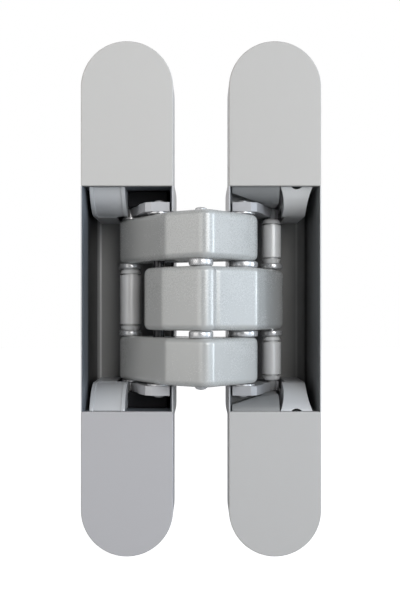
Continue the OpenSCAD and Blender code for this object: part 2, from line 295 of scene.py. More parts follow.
@dataclass(frozen=True)
class SteelFinish(Finish):
    """The polished steel of pins, rings and washers."""

    colour: Triple = (0.66, 0.66, 0.68)
    metallic: float = 0.6
    roughness: float = 0.26
    drift: float = 0.01
    grain: float = 0.01


@dataclass(frozen=True)
class ShadedPinFinish(SteelFinish):
    """A pin that is bright at its ends and carries painted shade between them, where the arms shadow it."""

    bright_from: float = 0.0215
    # Painted shade: the near-black shank between the ends, where the pin lies in the shadow of the arms.
    shank_shade: Triple = (0.03, 0.03, 0.032)

    def tint(self, bench: Bench, colour: Wire) -> Wire:
        """Lays the painted shade between the pin's ends."""
        place = bench.add("ShaderNodeSeparateXYZ", Vector=bench.place())
        return bench.blend(bench.out(place, "Z").magnitude().below(self.bright_from), colour, self.shank_shade)


@dataclass(frozen=True)
class ShellFinish(Finish):
    """A body's surface: bare outside, painted at the pocket's mouth, with painted shade on the walls below
    it, grey on its floor with a painted highlight line.

    The places are metres in the frame that all pieces share, and those across the body count from
    mid_x, the body's centre line.
    """

    metallic: float = 0.1
    grain: float = 0.015
    mid_x: float = 0.0
    mouth_end: float = -0.006
    mouth_fade: float = 450.0
    floor_start: float = 0.0152
    inner_x: float = 0.0117
    inner_z: float = 0.0297
    back: float = 0.017
    # Painted shade: the near-black tone on the pocket's walls below the mouth, where the deep corner lies in
    # shadow.
    wall_shade: Triple = (0.012, 0.012, 0.013)
    floor: Triple = (0.31, 0.31, 0.31)
    # Painted highlight: a pale stripe along the floor, line_x from the centre line and line_half wide,
    # standing in for light caught on a rounded edge of the floor.
    line: Triple = (0.5, 0.5, 0.5)
    line_x: float = -0.0102
    line_half: float = 0.00028
    outside: Triple = (0.55, 0.55, 0.56)

    def tint(self, bench: Bench, colour: Wire) -> Wire:
        """Lays painted shade on the pocket's walls below its mouth, and lays the tones of its floor and of
        the outside.

        Args:
            bench: the material's nodes.
            colour: the paint.

        Returns:
            The colour with the pocket's painted shade and painted highlight in it.
        """
        place = bench.add("ShaderNodeSeparateXYZ", Vector=bench.place())
        x, y, z = bench.out(place, "X"), bench.out(place, "Y"), bench.out(place, "Z")
        within = ((x - self.mid_x).magnitude().below(self.inner_x) * z.magnitude().below(self.inner_z)
                  * y.below(self.back))
        # Painted shade: past mouth_end the walls fade to the dark tone, which stands in for the shadow deep
        # in the pocket.
        wall_shaded = ((y - self.mouth_end) * self.mouth_fade).clamped() * within
        on_floor = y.above(self.floor_start) * within
        walls = bench.blend(wall_shaded, colour, self.wall_shade)
        floored = bench.blend(on_floor, walls, self.floor)
        # Painted highlight: the pale stripe on the pocket's floor.
        on_highlight_line = (x - self.mid_x - self.line_x).magnitude().below(self.line_half) * on_floor
        highlighted = bench.blend(on_highlight_line, floored, self.line)
        return bench.blend(1.0 - within, highlighted, self.outside)


# The frame's pocket paint is set lighter and bluer than the door's: painted light of the bluish right lamp,
# which falls on the frame pocket's wall.
SHELL_FRAME = ShellFinish("shell_frame", (0.145, 0.16, 0.185))
SHELL_DOOR = ShellFinish("shell_door", (0.125, 0.13, 0.137), mid_x=0.0385, mouth_end=0.009,
                         floor=(0.27, 0.27, 0.27), line=(0.40, 0.40, 0.40), line_x=0.0088)
# Four tones of one plating: the lower covers are set darker than the upper ones, as painted shade of the
# light that falls from above.
COVER_LIGHT = CoverFinish("cover_light", (0.575, 0.56, 0.545))
COVER_PALE = CoverFinish("cover_pale", (0.54, 0.525, 0.51))
COVER_COOL = CoverFinish("cover_cool", (0.48, 0.47, 0.485), drift=0.008)
COVER_SOFT = CoverFinish("cover_soft", (0.52, 0.51, 0.505))
CAST = Finish("cast_grey", (0.52, 0.525, 0.52), metallic=0.16, roughness=0.27, drift=0.012,
              grain=0.009, grain_scale=3500.0, bump=0.018)
BLOCK = BlockFinish("block_grey", (0.58, 0.59, 0.61))
# Painted light: a lighter copy of the block grey for the door's upper guide, which stands brighter in the
# light than the other guides.
LIT_BLOCK = BlockFinish("lit_block_grey", (0.84, 0.845, 0.85))
CARRIER = BlockFinish("carrier_grey", (0.22, 0.225, 0.23))
# Black steel of the adjusting screws; on the frame's carriers the same black is painted shade, standing dark
# where the end of the frame pocket lies in shadow.
BLACK_STEEL_AND_SHADE = Finish("black_steel_and_shade", (0.010, 0.010, 0.012), roughness=0.55, specular=0.15)
PLATE = PlateFinish("brushed_plate", (0.54, 0.54, 0.56))
PLATE_DULL = PlateFinish("dull_plate", (0.40, 0.40, 0.415))
TURNED = Finish("turned_steel", (0.92, 0.92, 0.93), metallic=0.12, roughness=0.30, drift=0.01,
                grain=0.012, grain_scale=1500.0, bump=0.01, stretch=(0.3, 0.3, 5.0))
POLISHED = SteelFinish("polished_steel", bump=0.01)
# The pivot pins carry painted shade on their shanks.
SHADED_PIN = ShadedPinFinish("shaded_pin")


# Plane outlines: closed anticlockwise loops of points, in millimetres

# Points on a band drawn round circles, before it is spaced evenly
DIRECTIONS = 720
FEWEST_POINTS = 16
# Keeps a level edge from dividing by nothing
TINY = 1e-12


def turned_to(angles: np.ndarray) -> np.ndarray:
    """Unit vectors at angles in radians, one row each."""
    return np.stack([np.cos(angles), np.sin(angles)], axis=-1)


def resampled(loop: np.ndarray, step: float) -> np.ndarray:
    """Spreads points evenly round a closed loop, each linear by length between its old neighbours.

    Args:
        loop: points of the loop.
        step: distance wanted between points.

    Returns:
        The evenly spaced loop.
    """
    closed = np.vstack([loop, loop[:1]])
    run = np.concatenate([[0.0], np.cumsum(np.linalg.norm(np.diff(closed, axis=0), axis=1))])
    count = max(FEWEST_POINTS, int(round(run[-1] / step)))
    at = np.linspace(0.0, run[-1], count, endpoint=False)
    return np.stack([np.interp(at, run, closed[:, k]) for k in (0, 1)], axis=-1)


def taut(circles: Sequence[Circle], count: int = DIRECTIONS) -> np.ndarray:
    """A band drawn tight round circles: in each direction, the circle that reaches furthest sets the point.

    Args:
        circles: (centre, radius) pairs.
        count: directions.

    Returns:
        The convex loop.
    """
    centres = np.array([c for c, _ in circles])
    radii = np.array([r for _, r in circles])
    way = turned_to(np.linspace(0, 2 * math.pi, count, endpoint=False))
    reach = way @ centres.T + radii
    best = reach.argmax(axis=1)
    return centres[best] + radii[best, None] * way


def inside(points: np.ndarray, loop: np.ndarray) -> np.ndarray:
    """Which points lie in a closed loop: a ray to the right crosses its edges an odd number of times.

    Args:
        points: one a row.
        loop: the closed loop.

    Returns:
        True for each point inside.
    """
    x, y = points[:, :1], points[:, 1:]
    x0, y0 = loop[:, 0], loop[:, 1]
    x1, y1 = np.roll(x0, -1), np.roll(y0, -1)
    spans = (y0 > y) != (y1 > y)
    with np.errstate(divide="ignore", invalid="ignore"):
        cross = x0 + (y - y0) * (x1 - x0) / np.where(y1 == y0, TINY, y1 - y0)
    return (spans & (x < cross)).sum(axis=1) % 2 == 1


def joined(first: np.ndarray, second: np.ndarray) -> np.ndarray:
    """The outline of two convex loops that cross twice: the stretch of each that lies outside the other.

    Args:
        first: a convex loop.
        second: another one, which overlaps it.

    Returns:
        One closed loop.
    """

    def outer_run(loop: np.ndarray, other: np.ndarray) -> np.ndarray:
        """The stretch of a loop outside another, in order.

        Args:
            loop: the loop.
            other: the loop that hides part of it.

        Returns:
            The points that show.
        """
        out = ~inside(loop, other)
        start = np.flatnonzero(out & ~np.roll(out, 1))[0]
        loop, out = np.roll(loop, -start, axis=0), np.roll(out, -start)
        return loop[out]

    return np.vstack([outer_run(first, second), outer_run(second, first)])


def softened(loop: np.ndarray, reach: int) -> np.ndarray:
    """Each point becomes the mean of its neighbours with bell-shaped weights, which rounds the corners.

    Args:
        loop: the loop.
        reach: how many neighbours count on each side.

    Returns:
        The softer loop.
    """
    weights = np.hanning(2 * reach + 3)[1:-1]
    weights /= weights.sum()
    return sum(w * np.roll(loop, k - reach, axis=0) for k, w in enumerate(weights))


def normals(loop: np.ndarray) -> np.ndarray:
    """Outward unit normals: the tangent between a point's neighbours, turned a quarter clockwise.

    Args:
        loop: the loop.

    Returns:
        A normal for each point.
    """
    way = np.roll(loop, -1, axis=0) - np.roll(loop, 1, axis=0)
    way /= np.linalg.norm(way, axis=1, keepdims=True)
    return np.stack([way[:, 1], -way[:, 0]], axis=-1)


# Meshes

# Angles in degrees past which an edge stays sharp
CREASE = 32.0
ROUND_CREASE = 40.0
PIN_CREASE = 50.0
SEAM_CREASE = 30.0
# An eased copy: the gap in metres that is merged, the angles in degrees that are flat and bevelled
MERGE_GAP = 2e-6
FLAT_ANGLE = 0.5
EASED_CREASE = 28.0
BEVEL_STEPS = 2
# How strongly large faces set the shading
FACE_WEIGHT = 80
# Inset of the first ring on a flat face, as a share of the edge's radius
RIM_SHARE = 1.12


def make_piece(name: str, verts: np.ndarray, faces: Iterable[Sequence[int]], finish: Finish,
               crease: float = CREASE) -> bpy.types.Object:
    """Makes an object from points in millimetres.

    Args:
        name: the piece's name.
        verts: one point a row, in the frame that all pieces share.
        faces: indices of each face.
        finish: its finish.
        crease: edges sharper than this many degrees stay sharp.

    Returns:
        The object, at the origin.
    """
    mesh = bpy.data.meshes.new(name)
    mesh.from_pydata((verts * MM).tolist(), [], [list(f) for f in faces])
    mesh.validate()
    mesh.shade_smooth()
    mesh.set_sharp_from_angle(angle=math.radians(crease))
    mesh.materials.append(finish.material())
    piece = bpy.data.objects.new(name, mesh)
    bpy.context.scene.collection.objects.link(piece)
    return piece


def grid_faces(rings: int, count: int, wrap_rings: bool = False) -> list[tuple[int, int, int, int]]:
    """Faces between rings of points that each close on themselves.

    Args:
        rings: how many rings.
        count: points in a ring.
        wrap_rings: the last ring joins the first.

    Returns:
        Quads, whose normals point away from a stack of anticlockwise rings that rises.
    """
    last = rings if wrap_rings else rings - 1
    ring, point = np.meshgrid(np.arange(last), np.arange(count), indexing="ij")
    up, along = (ring + 1) % rings, (point + 1) % count
    quads = np.stack([ring * count + point, ring * count + along, up * count + along, up * count + point], -1)
    return [tuple(q) for q in quads.reshape(-1, 4).tolist()]


def capped_faces(rings: int, count: int) -> list[Sequence[int]]:
    """Faces of a stack of rings that ends in a flat cap below and above.

    Args:
        rings: how many rings.
        count: points in a ring.

    Returns:
        The faces between the rings and the two caps.
    """
    below = list(range(count))[::-1]
    above = [(rings - 1) * count + i for i in range(count)]
    return [*grid_faces(rings, count), below, above]


def lofted(loop: np.ndarray, levels: Sequence[Point]) -> Form:
    """A slab: the loop, moved inwards along its normals by each level's inset, stacked at its height.

    Args:
        loop: the plan outline.
        levels: (inset, height) from the bottom to the top.

    Returns:
        Points and faces, with a flat cap at each end.
    """
    out = normals(loop)
    rings = [np.column_stack([loop - inset * out, np.full(len(loop), z)]) for inset, z in levels]
    return np.vstack(rings), capped_faces(len(levels), len(loop))


def round_levels(z0: float, z1: float, radius: float, steps: int = 7) -> list[Point]:
    """Levels whose edges are quarter circles: inset and height follow 1 - sin and 1 - cos of the angle.

    Args:
        z0: lower face.
        z1: upper face.
        radius: of both edges.
        steps: rings on each edge.

    Returns:
        (inset, height) pairs, with one more ring inside each flat face.
    """
    a = np.linspace(0, math.pi / 2, steps)
    low = [(radius * (1 - math.sin(t)), z0 + radius * (1 - math.cos(t))) for t in a]
    high = [(inset, z0 + z1 - z) for inset, z in reversed(low)]
    return [(radius * RIM_SHARE, z0), *low, *high, (radius * RIM_SHARE, z1)]


def spun(profile: Sequence[Point], centre: Point, closed: bool, count: int = 64) -> Form:
    """A turned form: the profile of (radius, height) points is carried round a vertical axis.

    Args:
        profile: from the bottom up on the outside; a closed one comes back down its bore.
        centre: the axis in plan.
        closed: the profile closes on itself, otherwise both ends are flat caps.
        count: points round the axis.

    Returns:
        Points and faces.
    """
    way = turned_to(np.linspace(0, 2 * math.pi, count, endpoint=False))
    rings = [np.column_stack([np.array(centre) + r * way, np.full(count, z)]) for r, z in profile]
    if closed:
        return np.vstack(rings), list(grid_faces(len(profile), count, wrap_rings=True))
    return np.vstack(rings), capped_faces(len(profile), count)


def turned_back(faces: Iterable[Sequence[int]]) -> list[Sequence[int]]:
    """The same faces, seen from their other side."""
    return [list(f)[::-1] for f in faces]


def mirrored(form: Form, axis: Axis) -> Form:
    """The same form on the other side of the middle, with its faces turned back outwards.

    Args:
        form: points and faces.
        axis: the coordinate that changes its sign.

    Returns:
        Points and faces of the mirror image.
    """
    flip = np.ones(3)
    flip[axis.value] = -1.0
    return form[0] * flip, turned_back(form[1])


def together(forms: Iterable[Form]) -> Form:
    """Several forms as one: the faces of each count on from the points before it.

    Args:
        forms: points and faces of each.

    Returns:
        Points and faces of all.
    """
    verts: list[np.ndarray] = []
    faces: list[Sequence[int]] = []
    count = 0
    for points, corners in forms:
        verts.append(points)
        faces += [[i + count for i in face] for face in corners]
        count += len(points)
    return np.vstack(verts), faces


def carve(piece: bpy.types.Object, cutter: bpy.types.Object) -> None:
    """Cuts one closed mesh out of another and keeps only the result.

    Args:
        piece: the object to cut.
        cutter: the object taken away, which is deleted.
    """
    cut = piece.modifiers.new("cut", "BOOLEAN")
    cut.operation = "DIFFERENCE"
    cut.solver = "EXACT"
    cut.object = cutter
    bpy.context.view_layer.update()
    shaped = piece.evaluated_get(bpy.context.evaluated_depsgraph_get())
    mesh = bpy.data.meshes.new_from_object(shaped)
    piece.modifiers.clear()
    piece.data = mesh
    bpy.data.objects.remove(cutter)
    mesh.shade_smooth()
    mesh.set_sharp_from_angle(angle=math.radians(CREASE))
    weigh(piece)


def weigh(piece: bpy.types.Object) -> None:
    """Lets large flat faces hold their own shading beside rounded edges.

    Args:
        piece: the object.
    """
    weights = piece.modifiers.new("weights", "WEIGHTED_NORMAL")
    weights.keep_sharp = True
    weights.weight = FACE_WEIGHT


def eased_copy(node: str, finish: Finish, width: float) -> bpy.types.Object:
    """A merged copy of a CAD node, with its sharp edges broken by a small bevel.

    Args:
        node: the CAD node.
        finish: the copy's finish.
        width: the bevel's width in millimetres.

    Returns:
        The copy, which stands for the node.
    """
    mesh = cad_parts[node].data.copy()
    mesh.name = node + "_look"
    piece = bpy.data.objects.new(node + "_look", mesh)
    bpy.context.scene.collection.objects.link(piece)
    merge = piece.modifiers.new("merge", "WELD")
    merge.merge_threshold = MERGE_GAP
    flat = piece.modifiers.new("flat", "DECIMATE")
    flat.decimate_type = "DISSOLVE"
    flat.angle_limit = math.radians(FLAT_ANGLE)
    edge = piece.modifiers.new("edge", "BEVEL")
    edge.width = width * MM
    edge.segments = BEVEL_STEPS
    edge.limit_method = "ANGLE"
    edge.angle_limit = math.radians(EASED_CREASE)
    edge.use_clamp_overlap = True
    bpy.context.view_layer.update()
    shaped = piece.evaluated_get(bpy.context.evaluated_depsgraph_get())
    made = bpy.data.meshes.new_from_object(shaped)
    piece.modifiers.clear()
    piece.data = made
    made.materials.clear()
    made.materials.append(finish.material())
    made.shade_smooth()
    made.set_sharp_from_angle(angle=math.radians(ROUND_CREASE))
    weigh(piece)
    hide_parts(node)
    return piece


def seat_piece(piece: bpy.types.Object, body: str, slot: str, *nodes: str) -> None:
    """Declares what a piece rides on and hides the CAD nodes that it stands for.

    Args:
        piece: the finished object.
        body: the body it rides on.
        slot: not used.
        nodes: the CAD nodes, unless they were named before.
    """
    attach(piece, body)
    if nodes:
        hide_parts(*nodes)
    LOG.info("%s rides on %s", piece.name, body)


# Sub-assemblies


@dataclass
class Geometry:
    """The linkage's places in millimetres, about the middle between the bodies."""

    mid_x: float = 19.25
    face_y: float = -13.0
    pivot_side: float = 11.1
    pivot_depth: float = 4.0
    centre_front: float = 7.0
    tail_side: float = 19.6
    tail_depth: float = 16.0
    pin_r: float = 1.5
    tail_r: float = 1.3
    clearance: float = 0.05
    middle_hz: float = 8.15
    outer_z0: float = 10.0
    outer_z1: float = 22.2
    plate_z0: float = 22.8
    plate_z1: float = 25.3

    def centre(self) -> Point:
        """The centre pin in plan."""
        return self.mid_x, self.face_y - self.centre_front

    def pivot(self, side: Side) -> Point:
        """A body's pivot pin in plan."""
        return self.mid_x - side.value * self.pivot_side, self.face_y + self.pivot_depth

    def tail(self, side: Side) -> Point:
        """A tail pin in plan; the frame side's belongs to the outer arm."""
        return self.mid_x - side.value * self.tail_side, self.face_y + self.tail_depth


@dataclass
class Shells:
    """The two mortised bodies, with the blocks and the screws at the ends of their pockets."""

    edge: float = 0.18
    block_edge: float = 0.15
    screw_edge: float = 0.05

    def build(self) -> None:
        """Eases and dresses both bodies, their guides, their carriers and their adjusting screws."""
        # The frame's carriers take the black as painted shade of the pocket's end; the door's carriers keep
        # their own grey.
        for side, shell, carrier_finish, carrier_slot in (("frame", SHELL_FRAME, BLACK_STEEL_AND_SHADE, "dark_steel"),
                                                          ("door", SHELL_DOOR, CARRIER, "guides")):
            seat_piece(eased_copy(f"{side}_body", shell, self.edge), side, f"{side}_body")
            for end in ("upper", "lower"):
                # The door's upper guide takes the lighter copy of the block grey as painted light.
                guide_finish = LIT_BLOCK if (side, end) == ("door", "upper") else BLOCK
                guide = eased_copy(f"{side}_guide_{end}", guide_finish, self.block_edge)
                seat_piece(guide, side, "guides")
                carrier = eased_copy(f"{side}_carrier_{end}", carrier_finish, self.block_edge)
                seat_piece(carrier, side, carrier_slot)
            screws = eased_copy(f"{side}_adjusting_screws", BLACK_STEEL_AND_SHADE, self.screw_edge)
            seat_piece(screws, side, "dark_steel")


@dataclass
class Covers:
    """Four flat plates, half round at the outer end, with a fine bright bevel."""

    geometry: Geometry
    width: float = 24.0
    length: float = 134.0
    window: float = 29.35
    thickness: float = 1.2
    bevel: float = 0.28
    rim: float = 1.3
    corner: float = 0.25
    step: float = 0.35
    # The lower covers' darker tones are painted shade.
    finishes: dict[str, Finish] = field(default_factory=lambda: {
        "frame_upper": COVER_LIGHT, "door_upper": COVER_PALE,
        "frame_lower": COVER_COOL, "door_lower": COVER_SOFT})

    def outline(self) -> np.ndarray:
        """Half a stadium: a half circle over two corners with a small radius.

        Returns:
            The upper cover's outline about its body's centre line.
        """
        r = self.width / 2
        c = self.corner
        bends = [((0.0, self.length / 2 - r), r), ((-r + c, self.window + c), c),
                 ((r - c, self.window + c), c)]
        return taut(bends, 2 * DIRECTIONS)

    def build(self) -> None:
        """Makes the four covers: the bevel at the face is a quarter circle, and the back is square."""
        b = self.bevel
        a = np.linspace(0, math.pi / 2, 5)
        levels = [(b * self.rim, 0.0), *[(b * (1 - math.sin(t)), b * (1 - math.cos(t))) for t in a],
                  (0.0, self.thickness)]
        verts, faces = lofted(resampled(self.outline(), self.step), levels)
        upper = verts[:, [0, 2, 1]], turned_back(faces)
        for side, x in (("frame", 0.0), ("door", 2 * self.geometry.mid_x)):
            for end, form in (("upper", upper), ("lower", mirrored(upper, Axis.Z))):
                placed = form[0] + np.array([x, self.geometry.face_y, 0])
                name = f"{side}_cover_{end}"
                piece = make_piece(name + "_look", placed, form[1], self.finishes[f"{side}_{end}"],
                                   ROUND_CREASE)
                seat_piece(piece, side, "covers", name)


@dataclass
class Arm:
    """A cast arm: two legs about the centre pin, with rounded edges, bores and the arc notch."""

    geometry: Geometry
    short_bends: Sequence[Circle] = ()
    long_bends: Sequence[Circle] = (((0.0, -4.0), 3.0), ((1.1, -8.0), 3.08), ((-7.7, -3.2), 2.0))
    crest: Point = (1.1, -8.0)
    crest_r: float = 3.1
    eye_r: float = 3.8
    tail_eye_r: float = 3.0
    edge_r: float = 1.6
    notch_c: float = 0.4
    swing: float = math.radians(47.34)
    run_out: float = 0.35
    fine_step: float = 0.15
    step: float = 0.36
    soften: int = 2
    overshoot: float = 1.0

    def legs(self) -> tuple[np.ndarray, np.ndarray]:
        """Each leg in plan is a band drawn tight round its circles, about the middle between the bodies.

        Returns:
            The outlines of the short and the long leg.
        """
        g = self.geometry
        short = taut([(self.crest, self.crest_r), *self.short_bends,
                      ((g.pivot_side, g.pivot_depth), self.eye_r)])
        long = taut([*self.long_bends, ((-g.tail_side, g.tail_depth), self.tail_eye_r)])
        return short, long

    def cutter(self, z0: float, z1: float) -> Form:
        """The bores and the notch as closed prisms.

        The notch follows the arc that the other arm's pivot pin describes about the centre pin.

        Args:
            z0: lower end.
            z1: upper end.

        Returns:
            Points and faces of all prisms.
        """
        g = self.geometry
        centre = np.array([0.0, -g.centre_front])
        pivot = np.array([-g.pivot_side, g.pivot_depth])
        reach = np.linalg.norm(pivot - centre)
        start = math.atan2(*(pivot - centre)[::-1])
        wide = g.pin_r + self.notch_c
        sweep = np.linspace(start - self.swing - self.run_out, start, 40)
        cap = np.linspace(start, start + math.pi, 20)[1:-1]
        slot = np.vstack([centre + (reach + wide) * turned_to(sweep), pivot + wide * turned_to(cap),
                          centre + (reach - wide) * turned_to(sweep[::-1])])
        circle = turned_to(np.linspace(0, 2 * math.pi, 48, endpoint=False))
        bores = [(centre, g.pin_r), ((g.pivot_side, g.pivot_depth), g.pin_r),
                 ((-g.tail_side, g.tail_depth), g.tail_r)]
        loops = [slot, *[np.array(place) + (radius + g.clearance) * circle for place, radius in bores]]
        return together([lofted(loop, [(0.0, z0), (0.0, z1)]) for loop in loops])

    def block(self, name: str, side: Side, z0: float, z1: float) -> bpy.types.Object:
        """One cast block.

        Args:
            name: the piece's name.
            side: FRAME draws the arm as it lies, DOOR its mirror image.
            z0: lower face.
            z1: upper face.

        Returns:
            The carved object.
        """
        loop = softened(resampled(joined(*self.legs()), self.fine_step), self.soften)
        cast = lofted(resampled(loop, self.step), round_levels(z0, z1, self.edge_r))
        tool = self.cutter(z0 - self.overshoot, z1 + self.overshoot)
        if side is Side.DOOR:
            cast, tool = mirrored(cast, Axis.X), mirrored(tool, Axis.X)
        shift = np.array([self.geometry.mid_x, self.geometry.face_y, 0])
        piece = make_piece(name, cast[0] + shift, cast[1], CAST)
        carve(piece, make_piece(name + "_tool", tool[0] + shift, tool[1], CAST))
        return piece


@dataclass
class Arms:
    """The crossed arms: the outer one in two blocks, the middle one in a single block."""

    geometry: Geometry

    def build(self) -> None:
        """Makes the three blocks."""
        g = self.geometry
        outer = Arm(g)
        upper = outer.block("outer_arm_upper_look", Side.FRAME, g.outer_z0, g.outer_z1)
        lower = outer.block("outer_arm_lower_look", Side.FRAME, -g.outer_z1, -g.outer_z0)
        seat_piece(upper, "outer", "arms", "outer_arm_upper")
        seat_piece(lower, "outer", "arms", "outer_arm_lower")
        middle = Arm(g, crest=(-0.8, -8.0), short_bends=(((8.6, -2.6), 2.0),), tail_eye_r=3.2,
                     long_bends=(((0.0, -4.0), 3.0), ((-4.2, -5.5), 1.7), ((-12.9, -0.5), 2.2)))
        block = middle.block("middle_arm_look", Side.DOOR, -g.middle_hz, g.middle_hz)
        seat_piece(block, "middle", "arms", "middle_arm")


@dataclass
class Turned:
    """Pins, sleeves, rings and washers: everything made on a lathe."""

    geometry: Geometry
    rivet_h: float = 0.8
    rivet_dome: float = 0.6
    tail_dome: float = 0.2
    tip_r: float = 0.01
    tip_share: float = 0.999
    collar_r: float = 2.4
    collar_t: float = 0.45
    collar_seat: float = 0.02
    shim_t: float = 0.45
    shim_round: float = 0.1
    washer_r: float = 3.15
    washer_t: float = 1.5
    washer_round: float = 0.4
    ring_r: float = 3.1
    ring_round: float = 0.5
    door_ring_r: float = 3.9
    door_ring_fit: float = 0.1
    sleeve_r: float = 3.0
    door_sleeve_r: float = 2.7
    cone_h: float = 1.7
    seam: float = 0.45
    seam_depth: float = 0.9

    def pin(self, node: str, body: str, centre: Point, radius: float, half: float, dome: float,
            finish: Finish, collar_z: Optional[float] = None) -> None:
        """A pin with rounded ends, whose edge is a quarter ellipse of the dome's height.

        Args:
            node: the CAD node it stands for.
            body: the body it rides on.
            centre: its axis in plan.
            radius: of the shank.
            half: half its length.
            dome: height of each rounded end.
            finish: its finish.
            collar_z: foot of a collar near each end, if it has them.
        """
        a = np.linspace(0, math.pi / 2, 6)[:-1]
        low = [(radius * math.sin(t) * self.tip_share + self.tip_r, -half + dome * (1 - math.cos(t)))
               for t in a]
        side = [(radius, -half + dome), (radius, half - dome)]
        if collar_z is not None:
            over = collar_z + self.collar_t
            rise = [(radius, collar_z), (self.collar_r, collar_z), (self.collar_r, over), (radius, over)]
            side[1:1] = [*[(r, -z) for r, z in reversed(rise)], *rise]
        profile = [*low, *side, *[(r, -z) for r, z in reversed(low)]]
        piece = make_piece(node + "_look", *spun(profile, centre, False), finish, PIN_CREASE)
        seat_piece(piece, body, "pins", node)

    def ring(self, centre: Point, radius: float, bore: float, z0: float, z1: float, round_r: float) -> Form:
        """A washer with rounded outer edges: its section is a rectangle with two quarter circles.

        Args:
            centre: its axis in plan.
            radius: outer radius.
            bore: inner radius.
            z0: lower face.
            z1: upper face.
            round_r: radius of its outer edges.

        Returns:
            Points and faces.
        """
        a = np.linspace(0, math.pi / 2, 5)
        low = [(radius - round_r + round_r * math.sin(t), z0 + round_r * (1 - math.cos(t))) for t in a]
        high = [(r, z0 + z1 - z) for r, z in reversed(low)]
        return spun([(bore, z0), *low, *high, (bore, z1)], centre, True)

    def pair(self, node: str, body: str, form: Form) -> None:
        """One piece of two like forms, above and below the middle.

        Args:
            node: the CAD node it stands for.
            body: the body it rides on.
            form: points and faces of the upper one.
        """
        both = together([form, mirrored(form, Axis.Z)])
        seat_piece(make_piece(node + "_look", *both, POLISHED, ROUND_CREASE), body, "pins", node)

    def sleeve(self, centre: Point, radius: float, z0: float, z1: float) -> Form:
        """A sleeve with coned shoulders, and a dark seam between each of them and the barrel.

        Args:
            centre: its axis in plan.
            radius: of the barrel.
            z0: lower end.
            z1: upper end.

        Returns:
            Points and faces.
        """
        top = self.cone_h
        foot = top - self.seam
        # How far each point of the shoulder's section lies inside the barrel, and how high
        shoulder = ((0.9, 0.0), (0.55, 0.25), (0.12, foot), (self.seam_depth, foot + 0.05),
                    (self.seam_depth, top), (0.06, top + 0.02), (0.0, top + 0.12))
        low = [(radius - inset, z0 + rise) for inset, rise in shoulder]
        high = [(r, z0 + z1 - z) for r, z in reversed(low)]
        bore = self.geometry.tail_r + self.geometry.clearance
        return spun([(bore, z0), *low, *high, (bore, z1)], centre, True)

    def pins(self) -> None:
        """Makes the pivot pins, the centre pin and the tail pins."""
        g = self.geometry
        top = g.plate_z1 + self.rivet_h
        rivet, flush = self.rivet_dome, self.tail_dome
        self.pin("frame_pivot_pin", "frame", g.pivot(Side.FRAME), g.pin_r, top, rivet, SHADED_PIN)
        self.pin("door_pivot_pin", "door", g.pivot(Side.DOOR), g.pin_r, top, rivet, SHADED_PIN)
        self.pin("centre_pin", "outer", g.centre(), g.pin_r, g.outer_z1 + self.rivet_h, rivet, POLISHED)
        self.pin("outer_tail_pin", "outer", g.tail(Side.FRAME), g.tail_r, g.plate_z1, flush, POLISHED,
                 g.outer_z1 + self.collar_seat)
        self.pin("middle_tail_pin", "middle", g.tail(Side.DOOR), g.tail_r, g.plate_z1, flush, POLISHED)

    def rings(self) -> None:
        """Makes the shims, the rings and the thrust washers."""
        g = self.geometry
        for side, body in ((Side.FRAME, "frame"), (Side.DOOR, "door")):
            self.pair(f"{body}_shims", body,
                      self.ring(g.pivot(side), self.washer_r, g.pin_r, g.plate_z0 - self.shim_t, g.plate_z0,
                                self.shim_round))
        self.pair("door_pivot_rings", "door",
                  self.ring(g.pivot(Side.DOOR), self.door_ring_r, g.pin_r, g.middle_hz + self.door_ring_fit,
                            g.outer_z0 - self.door_ring_fit, self.washer_round))
        self.pair("centre_rings", "outer",
                  self.ring(g.centre(), self.ring_r, g.pin_r, g.middle_hz + g.clearance, g.outer_z0,
                            self.ring_round))
        for side, body in ((Side.FRAME, "outer"), (Side.DOOR, "middle")):
            self.pair(f"{body}_tail_washers", body,
                      self.ring(g.tail(side), self.washer_r, g.tail_r, g.outer_z0 - self.washer_t, g.outer_z0,
                                self.washer_round))

    def sleeves(self) -> None:
        """Makes the long sleeve on the outer arm's tail pin and the two short ones on the middle arm's."""
        g = self.geometry
        end = g.outer_z0 - self.washer_t
        long = self.sleeve(g.tail(Side.FRAME), self.sleeve_r, -end, end)
        short = self.sleeve(g.tail(Side.DOOR), self.door_sleeve_r, g.outer_z0, g.plate_z0 - self.shim_t)
        for node, body, form in (("outer_tail_sleeve", "outer", long),
                                 ("middle_tail_sleeve_upper", "middle", short),
                                 ("middle_tail_sleeve_lower", "middle", mirrored(short, Axis.Z))):
            seat_piece(make_piece(node + "_look", *form, TURNED, SEAM_CREASE), body, "sleeves", node)

    def build(self) -> None:
        """Makes every turned piece."""
        self.pins()
        self.rings()
        self.sleeves()


@dataclass
class GuidePlates:
    """The four bright plates with their curved tracks."""

    edge: float = 0.12

    def build(self) -> None:
        """Eases and dresses the plates."""
        for side, finish in (("frame", PLATE), ("door", PLATE_DULL)):
            for end in ("upper", "lower"):
                plate = eased_copy(f"{side}_plate_{end}", finish, self.edge)
                seat_piece(plate, side, "plates")


# Studio


@dataclass(frozen=True)
class Lamp:
    """A soft rectangular lamp that faces the hinge's middle.

    It hangs turn degrees to the right of straight ahead and rise degrees above level, at a distance
    and with a width and height in metres, and with a power in watts.
    """

    name: str
    turn: float
    rise: float
    away: float
    size: Point
    power: float
    colour: Triple

    def hang(self, aim: Vector) -> None:
        """Puts the lamp in its place.

        Args:
            aim: the point that it faces.
        """
        light = bpy.data.lights.new(self.name, "AREA")
        light.shape = "RECTANGLE"
        light.size, light.size_y = self.size
        light.energy = self.power
        light.color = self.colour
        holder = bpy.data.objects.new(self.name, light)
        turn, rise = math.radians(self.turn), math.radians(self.rise)
        level = self.away * math.cos(rise)
        way = Vector((level * math.sin(turn), -level * math.cos(turn), self.away * math.sin(rise)))
        holder.location = aim + way
        holder.rotation_euler = (-way).to_track_quat("-Z", "Y").to_euler()
        bpy.context.scene.collection.objects.link(holder)


